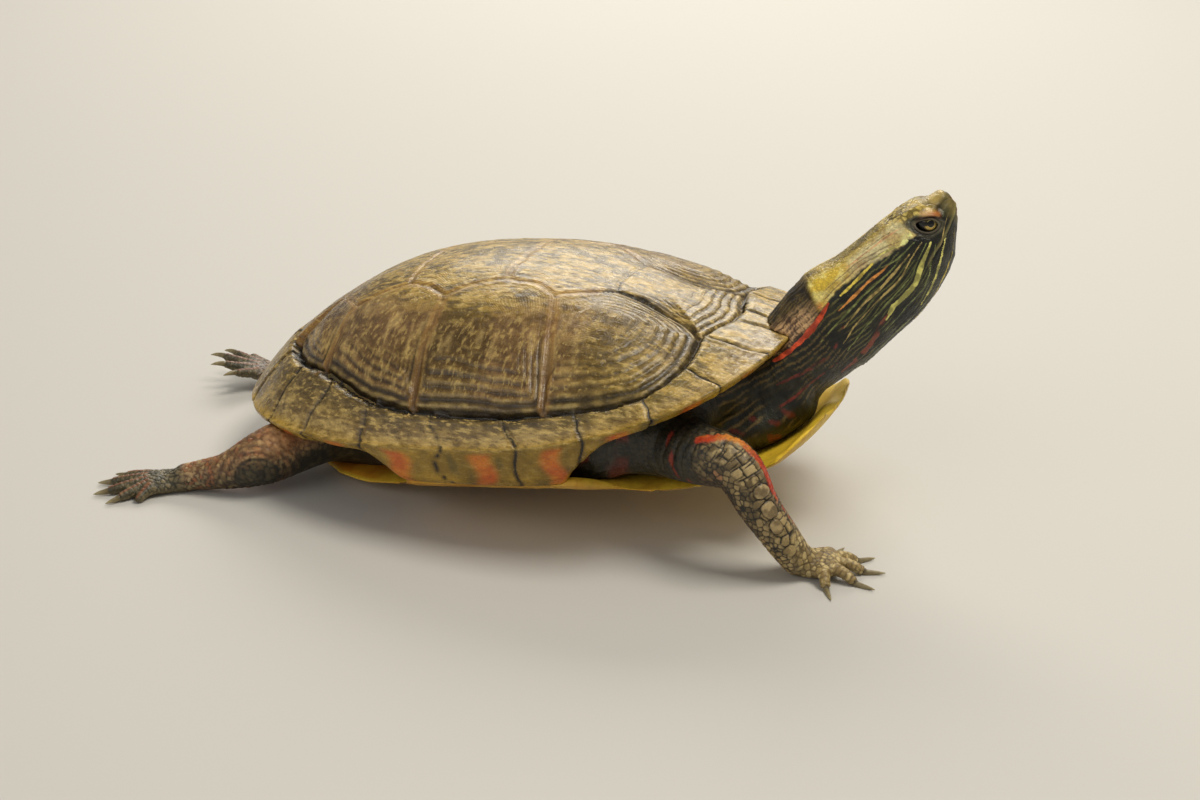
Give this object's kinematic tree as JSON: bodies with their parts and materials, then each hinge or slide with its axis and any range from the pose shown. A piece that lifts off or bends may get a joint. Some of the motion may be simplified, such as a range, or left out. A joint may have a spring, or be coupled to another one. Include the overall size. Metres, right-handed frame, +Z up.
{
  "type": "painted turtle model",
  "caption": "Still life-size model of an adult painted turtle basking: oval domed shell tilted nose up, neck stretched up and forward, legs spread.",
  "frame": {"origin": "centre of the whole animal's bounding box, on the floor it rests on", "axes": "+X towards the front of the shell, +Y towards the animal's left, +Z up"},
  "size_m": [0.215, 0.1468, 0.0841],
  "materials": {
    "carapace": "keratin shell plates, olive brown with a dull golden shine, fine growth lines and dark seams",
    "plastron": "keratin shell plates, amber yellow, smooth, worn satin",
    "skin": "moist dark olive-black scaled skin with thin yellow and red stripes",
    "leg_skin": "dark grey-brown scaled skin with orange-red streaks",
    "eye": "wet dark eye with a yellow iris and a dark bar",
    "claw": "horn, grey-brown, semi-matt"
  },
  "bodies": {
    "root": {"carapace": "carapace", "plastron": "plastron", "trunk": "skin", "neck": "skin", "head": "skin", "eye_right": "eye", "eye_left": "eye", "tail": "skin", "foreleg_right_upper": "leg_skin", "foreleg_right_lower": "leg_skin", "forefoot_right": "leg_skin", "claw_fore_right_first": "claw", "claw_fore_right_second": "claw", "claw_fore_right_third": "claw", "claw_fore_right_fourth": "claw", "claw_fore_right_fifth": "claw", "foreleg_left_upper": "leg_skin", "foreleg_left_lower": "leg_skin", "forefoot_left": "leg_skin", "claw_fore_left_first": "claw", "claw_fore_left_second": "claw", "claw_fore_left_third": "claw", "claw_fore_left_fourth": "claw", "claw_fore_left_fifth": "claw", "hindleg_right_upper": "leg_skin", "hindleg_right_lower": "leg_skin", "hindfoot_right": "leg_skin", "claw_hind_right_first": "claw", "claw_hind_right_second": "claw", "claw_hind_right_third": "claw", "claw_hind_right_fourth": "claw", "hindleg_left_upper": "leg_skin", "hindleg_left_lower": "leg_skin", "hindfoot_left": "leg_skin", "claw_hind_left_first": "claw", "claw_hind_left_second": "claw", "claw_hind_left_third": "claw", "claw_hind_left_fourth": "claw"}
  },
  "joints": []
}
